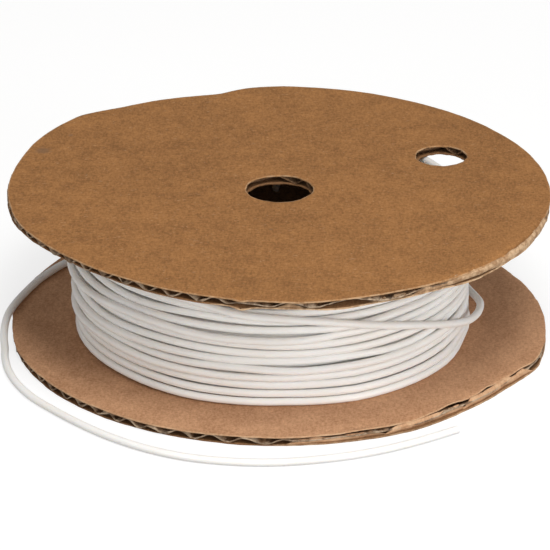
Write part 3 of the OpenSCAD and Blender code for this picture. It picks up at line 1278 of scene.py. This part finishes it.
@dataclass
class BoardDisc:
    """One disc of corrugated board: two liners with the corrugated medium between them.

    Sizes are in millimetres and angles in degrees. base is the height of the disc's underside, crushes are
    the stretches of its rim where the medium is crushed, warp is how far its rim strays, and run is the
    direction of the corrugations.
    """

    name: str
    base: float
    upper: Layer
    lower: Layer
    crushes: Spans = ()
    warp: float = 0.3
    warp_turn: float = 0.0
    liner: float = 0.3
    flute: float = 1.8
    paper: float = 0.25
    pitch: float = 6.2
    run: float = 32.0
    seed: int = 1

    def warped(self, points: np.ndarray) -> np.ndarray:
        """Gives how far the disc is off its plane at each point, nothing near the core.

        Args:
            points: The flat points.

        Returns:
            The rises in millimetres.
        """
        still, rest = 44, 26
        r = np.hypot(points[:, 0], points[:, 1])
        a = np.arctan2(points[:, 1], points[:, 0]) - math.radians(self.warp_turn)
        far = np.clip((r - still) / rest, 0, None) ** 2
        return self.warp * far * (np.cos(2 * a) * 0.7 + np.sin(3 * a + 1) * 0.3)

    def window(self, degrees: np.ndarray, spans: Spans, soft: float) -> np.ndarray:
        """Gives 1 in the stretches of the rim that are given and 0 elsewhere.

        Args:
            degrees: The angles.
            spans: Where each stretch begins and ends.
            soft: Degrees over which it fades, to each side of its ends.

        Returns:
            The values.
        """
        shown = np.zeros(len(degrees))
        for begin, end in spans:
            middle, half = (begin + end) / 2, (end - begin) / 2
            off = np.abs((degrees - middle + TURN / 2) % TURN - TURN / 2)
            shown = np.maximum(shown, smoothstep((half + soft - off) / (2 * soft)))
        return shown

    def edge_rise(self, sheet: Sheet, points: np.ndarray, bends: tuple[Bend, ...]) -> np.ndarray:
        """Gives how far the bends push each point up or down.

        Args:
            sheet: The layer.
            points: Its flat points.
            bends: Its bends.

        Returns:
            The rises in millimetres.
        """
        degrees = np.degrees(np.arctan2(points[:, 1], points[:, 0]))
        inset = np.clip(sheet.inset(points), 0, None)
        rise = np.zeros(len(points))
        for bend in bends:
            off = (degrees - bend.angle + TURN / 2) % TURN - TURN / 2
            near = np.clip(1 - inset / bend.reach, 0, 1) ** 2
            rise += bend.rise * np.exp(-((off / bend.spread) ** 2)) * near
        return rise

    def liner_piece(self, label: str, layer: Layer, base: float) -> Thing:
        """Makes one liner.

        Args:
            label: The piece's name.
            layer: How it is cut.
            base: The height of its underside.

        Returns:
            The liner.
        """
        sheet = Sheet(layer.outline, layer.holes)
        spread = np.arange(-SHEET_REACH, SHEET_REACH + 1, 4.0)
        grid = np.array([(x + (2 if i % 2 else 0), y) for i, y in enumerate(spread) for x in spread])
        grid = grid[sheet.depth(grid) > 5.2]
        # Finer points follow the cut edges: spacing and how far in
        rings = [sheet.ring(s, g) for s, g in ((0.7, 0.5), (1.0, 1.2), (1.4, 2.2), (2.2, 3.8))]
        rings += [hole.ring(s, g) for hole in layer.holes for s, g in ((0.8, 0.5), (1.5, 1.6), (2.6, 3.6))]
        points, triangles = sheet.cut(np.vstack([grid, *rings]))
        heights = base + self.warped(points) + self.edge_rise(sheet, points, layer.bends)
        corners, faces, flat = shell(points, triangles, heights, self.liner)
        # The holes are frayed in the upper liner only
        edge = sheet.inset(points) if base <= self.base else sheet.depth(points)
        degrees = np.degrees(np.arctan2(points[:, 1], points[:, 0]))
        near = (1 - np.clip(edge / 0.5, 0, 1)) * (1 - 0.9 * self.window(degrees, layer.clean, 4))
        total, rims = [corners], [np.tile(near, 2)]
        for strip in layer.strips:
            more, more_faces = self.torn_strip(layer.outline, strip)
            begun = sum(len(c) for c in total)
            faces += [tuple(i + begun for i in f) for f in more_faces]
            total.append(more)
            rims.append(np.full(len(more), 0.8))
        obj = new_piece(label, np.vstack(total), faces, np.concatenate(rims))
        smooth = np.zeros(len(faces), bool)
        smooth[:flat] = True
        obj.data.polygons.foreach_set("use_smooth", smooth)
        return obj

    def torn_strip(self, outline: Outline, strip: Strip) -> tuple[np.ndarray, list]:
        """Makes a torn strip of paper along the rim.

        Args:
            outline: The outline that it follows.
            strip: Where it stands and how high.

        Returns:
            The corners and faces.
        """
        count = max(12, round((strip.end - strip.begin) * 2.2))
        degrees = np.linspace(strip.begin, strip.end, count)
        ends = smoothstep((degrees - strip.begin) / 4) * smoothstep((strip.end - degrees) / 4)
        torn = np.clip(0.86 + 0.26 * ring_noise(degrees, strip.seed), 0.35, 1.0) * ends
        r = outline.radius(degrees) + strip.out + 0.12 * ring_noise(degrees, strip.seed + 1)
        foot = self.base + self.liner * 0.5
        # Its outer side going up and its inner side coming down: share of the height, lean and how far in
        profile = (
            (0.0, -0.05, 0.0), (0.35, 0.22, 0.0), (0.7, 0.2, 0.0), (1.0, -0.25, 0.0),
            (1.0, -0.25, 0.2), (0.7, 0.2, 0.22), (0.35, 0.22, 0.22), (0.0, -0.05, 0.22),
        )
        rows = []
        for share, lean, inward in profile:
            flat = turned(r + lean * ends - inward, np.radians(degrees))
            rows.append(np.column_stack([flat, foot + share * strip.high * torn + self.warped(flat)]))
        faces = []
        for row in range(len(profile)):
            this, after = row * count, (row + 1) % len(profile) * count
            faces += [(this + i, this + i + 1, after + i + 1, after + i) for i in range(count - 1)]
        faces.append(tuple(row * count for row in range(len(profile))))
        faces.append(tuple(row * count + count - 1 for row in reversed(range(len(profile)))))
        return np.vstack(rows), faces

    def medium_piece(self, label: str, finish: bpy.types.Material) -> Thing:
        """Makes the corrugated medium.

        Args:
            label: The piece's name.
            finish: Its material.

        Returns:
            The medium.
        """
        # The medium's edge lies a little inside those of the liners
        recess = 0.12
        upper, lower = self.upper.outline, self.lower.outline
        between = tuple(
            (a, float((upper.radius(a) + lower.radius(a)) / 2 - recess)) for a in range(0, 360, 3)
        )
        holes = tuple(Hole(h.x, h.y, h.radius + recess, 0.15, h.seed + 5) for h in self.upper.holes)
        sheet = Sheet(Outline(between, 0.16, self.seed + 20), holes, 0.5)
        turn = math.radians(self.run)
        u = np.arange(-SHEET_REACH, SHEET_REACH, self.pitch / 10)
        v = np.arange(-SHEET_REACH, SHEET_REACH, 3.1)
        across, along = (side.ravel() for side in np.meshgrid(u, v))
        c, s = math.cos(turn), math.sin(turn)
        points, triangles = sheet.cut(np.column_stack([along * c - across * s, along * s + across * c]))
        heights = self.base + self.liner + self.warped(points)
        degrees = np.degrees(np.arctan2(points[:, 1], points[:, 0]))
        inset = np.clip(sheet.inset(points), 0, None)
        crush = self.window(degrees, self.crushes, 3) * np.clip(1 - inset / 3.5, 0, 1)
        near = 1 - np.clip(inset / 0.8, 0, 1)
        obj = new_piece(label, np.column_stack([points, heights]), triangles, near)
        crushed = obj.data.attributes.new("crush", "FLOAT", "POINT")
        crushed.data.foreach_set("value", crush.astype(np.float32))
        return run_geometry(obj, shared_group("corrugated_medium"), {
            "Pitch": self.pitch * MM, "Height": self.flute * MM, "Paper": self.paper * MM, "Run": turn,
            "Uneven": 0.0022, "Seed": float(self.seed), "Finish": finish,
        })

    def rim_fibres(self, label: str, height: float, finish: bpy.types.Material) -> Thing:
        """Makes the torn fibres along the upper liner's rim.

        Args:
            label: The piece's name.
            height: The rim's height.
            finish: Their material.

        Returns:
            The fibres.
        """
        degrees = np.arange(0, 360, 1.5)
        rows = []
        for inset in (0.25, 0.02):
            flat = turned(self.upper.outline.radius(degrees) - inset, np.radians(degrees))
            rows.append(np.column_stack([flat, height + self.warped(flat)]))
        count = len(degrees)
        faces = [(i, count + i, count + (i + 1) % count, (i + 1) % count) for i in range(count)]
        obj = new_piece(label, np.vstack(rows), faces)
        values = {"Count": 900, "Size": 0.0007, "Seed": self.seed, "Finish": finish}
        return run_geometry(obj, shared_group("torn_fibres"), values)

    def build(self, finishes: Sequence[KraftPaper], nodes: Sequence[str]) -> None:
        """Makes and dresses the disc's pieces.

        Args:
            finishes: Those of the upper liner, the lower liner, the medium and the torn fibres.
            nodes: The CAD nodes of the upper liner, the medium and the lower liner.
        """
        outer, inner, medium, torn = finishes
        top_base = self.base + self.liner + self.flute
        top = self.liner_piece(f"{self.name}_disc_top_liner", self.upper, top_base)
        finish_piece(top, outer.build(), "kraft_liner", nodes[0])
        wave = medium.build()
        fluting = self.medium_piece(f"{self.name}_disc_fluting", wave)
        finish_piece(fluting, wave, "kraft_medium", nodes[1])
        under = self.liner_piece(f"{self.name}_disc_under_liner", self.lower, self.base)
        finish_piece(under, inner.build(), "kraft_liner", nodes[2])
        pale = torn.build()
        fibres = self.rim_fibres(f"{self.name}_rim_torn_fibres", top_base + self.liner / 2, pale)
        finish_piece(fibres, pale, "kraft_liner")
        for obj in (top, fluting, under, fibres):
            LOG.info("%s: %d corners", obj.name, len(obj.data.vertices))


def upper_disc(base: float, drive: tuple[float, float]) -> BoardDisc:
    """Describes the upper disc.

    Args:
        base: The height of its underside.
        drive: Where its drive hole is.

    Returns:
        The disc.
    """
    top = Layer(
        Outline((
            (165, 69.7), (155, 70.7), (137, 71.9), (127, 68.6), (104, 65.9), (97, 69.0), (90, 70.0),
            (36, 69.5), (13, 70.0), (-20, 70.6), (-75, 70.5), (-90, 69.9), (-108, 68.3), (-125, 67.4),
            (-140, 67.7), (-160, 69.2),
        ), 0.09, 11),
        (Hole(0.45, 0, 8.7, 0.09, 31), Hole(*drive, 6.7, 0.10, 32)),
        bends=(
            Bend(-30, 17, -0.75, 2.6), Bend(-52, 9, -0.35, 2.0), Bend(-97.5, 1.3, -0.5, 2.2),
            Bend(-84, 5, -0.25, 1.8),
        ),
    )
    under = Layer(
        Outline((
            (170, 70.0), (160, 69.8), (137, 71.4), (127, 68.4), (104, 65.6), (97, 68.6), (90, 69.8),
            (36, 69.3), (13, 69.8), (-30, 71.1), (-52, 70.4), (-75, 69.8), (-95, 69.1), (-110, 67.6),
            (-130, 66.2), (-142, 66.3), (-152, 67.6), (-165, 69.5),
        ), 0.16, 12),
        (Hole(0.45, -0.05, 8.66, 0.14, 33), Hole(*drive, 6.5, 0.15, 34)),
        bends=(
            Bend(-78, 7, -0.75, 4.0), Bend(-46, 8, -0.95, 4.5), Bend(-97.5, 1.6, -0.9, 2.6),
            Bend(-64, 4, -0.25, 3),
        ),
        strips=(
            Strip(-62, -12, 0.0, 2.1, 41), Strip(-71, -60, -0.5, 1.1, 42), Strip(-91, -84, -0.4, 1.2, 43),
        ),
        clean=((-178, -104),),
    )
    return BoardDisc(
        "upper", base, top, under, crushes=((-62, -8), (-100, -92)), warp=0.28, warp_turn=-35, seed=5,
    )


def lower_disc(base: float, drive: tuple[float, float]) -> BoardDisc:
    """Describes the lower disc.

    Args:
        base: The height of its underside.
        drive: Where its drive hole is.

    Returns:
        The disc.
    """
    holes = (Hole(0, 0, 8.7, 0.08, 35), Hole(*drive, 6.7, 0.10, 36))
    top = Layer(
        Outline((
            (145, 70.6), (165, 69.4), (187, 69.1), (-120, 69.6), (-88, 69.6), (-72, 69.0), (-62, 68.8),
            (-52, 67.3), (-40, 66.8), (-30, 67.2), (-20, 70.6), (0, 69.7), (30, 68.9), (100, 70.0),
        ), 0.15, 21),
        holes,
        bends=(
            Bend(-72, 3.5, 0.25, 2.2), Bend(-60, 3, -0.3, 2.0), Bend(-49, 2.5, 0.45, 2.4),
            Bend(-43, 2, -0.3, 2.0), Bend(-38, 2.2, 0.55, 2.6), Bend(-31, 3, -0.25, 2.0),
            Bend(-25, 2, 0.2, 1.6),
        ),
        strips=(
            Strip(-89, -66, -0.2, 1.5, 51), Strip(-68, -44, 0.35, 1.7, 52), Strip(-47, -21, 0.5, 2.0, 53),
        ),
        clean=((-14, 80), (120, 200)),
    )
    under = Layer(
        Outline((
            (145, 70.2), (160, 69.0), (187, 68.6), (-120, 69.2), (-60, 70.0), (-48, 68.6), (-32, 68.7),
            (-20, 70.7), (0, 69.6), (30, 68.8), (100, 69.9),
        ), 0.12, 22),
        holes,
        clean=((-185, -92),),
    )
    return BoardDisc("lower", base, top, under, crushes=((-88, -18),), warp=0.0, seed=8)


# ---------------------------------------------------------------- the reel


@dataclass
class StringReel:
    """The whole reel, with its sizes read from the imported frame."""

    centre: np.ndarray
    core_radius: float
    gap_floor: float
    gap_top: float

    @classmethod
    def from_frame(cls) -> "StringReel":
        """Reads the reel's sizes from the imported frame.

        Returns:
            The reel.
        """
        low, high = (np.array(corner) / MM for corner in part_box("core_tube"))
        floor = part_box("bottom_flange_inner_liner")[1].z / MM
        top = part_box("top_flange_inner_liner")[0].z / MM
        return cls((low + high)[:2] / 2, float(high[0] - low[0]) / 2, floor, top)

    def build_string(self) -> Thing:
        """Makes the string.

        Returns:
            The string.
        """
        half = WoundString.thickness / 2
        string = WoundString(self.centre, self.core_radius, self.gap_floor + half, self.gap_top - half)
        return string.build(SatinPlastic())

    def build_discs(self) -> None:
        """Makes both discs of board."""
        reach, towards = 48, math.radians(27)
        drive = (reach * math.cos(towards), reach * math.sin(towards))
        torn = linear(214, 182, 146)
        stains = ((-61.5, 25.2, 39.8, 2.6), (-54.5, 35.6, 39.8, 0.8), (-1.7, -26.0, 39.8, 0.7))
        outer = KraftPaper("kraft_upper_face", linear(173, 121, 70), linear(128, 87, 48), torn,
                           fray=0.55, stains=stains, stain_colour=linear(122, 92, 66))
        under = KraftPaper("kraft_upper_underside", linear(152, 111, 74), linear(112, 79, 50), torn, fray=0.9)
        medium = KraftPaper("kraft_corrugated", linear(122, 91, 62), linear(76, 53, 34),
                            linear(206, 184, 158), Grain.COARSE, 0.75)
        inside = KraftPaper("kraft_lower_face", linear(205, 158, 120), linear(164, 119, 84), torn, fray=0.6)
        below = KraftPaper("kraft_floor_side", linear(146, 106, 70), linear(112, 79, 49), torn, fray=0.6)
        loose = KraftPaper("torn_kraft_fibres", linear(206, 172, 136), linear(160, 120, 84), torn,
                           Grain.COARSE, 0.0)
        upper_disc(self.gap_top, drive).build(
            (outer, under, medium, loose),
            ("top_flange_outer_liner", "top_flange_fluting", "top_flange_inner_liner"),
        )
        lower_disc(0.0, drive).build(
            (inside, below, medium, loose),
            ("bottom_flange_inner_liner", "bottom_flange_fluting", "bottom_flange_outer_liner"),
        )

    def dress_core(self) -> None:
        """Gives the core tube and its glue their materials."""
        paper, glue = WoundPaper().build(), DriedGlue().build()
        for node, material in (("core_tube", paper), ("upper_core_glue", glue), ("lower_core_glue", glue)):
            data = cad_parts[node].data
            data.materials.clear()
            data.materials.append(material)


def main() -> None:
    """Builds the studio and the reel."""
    logging.basicConfig(level=logging.INFO, format="%(message)s")
    Studio().build()
    LOG.info("studio ready")
    reel = StringReel.from_frame()
    reel.build_string()
    reel.build_discs()
    reel.dress_core()
    LOG.info("core dressed")


if __name__ == "__main__":
    main()
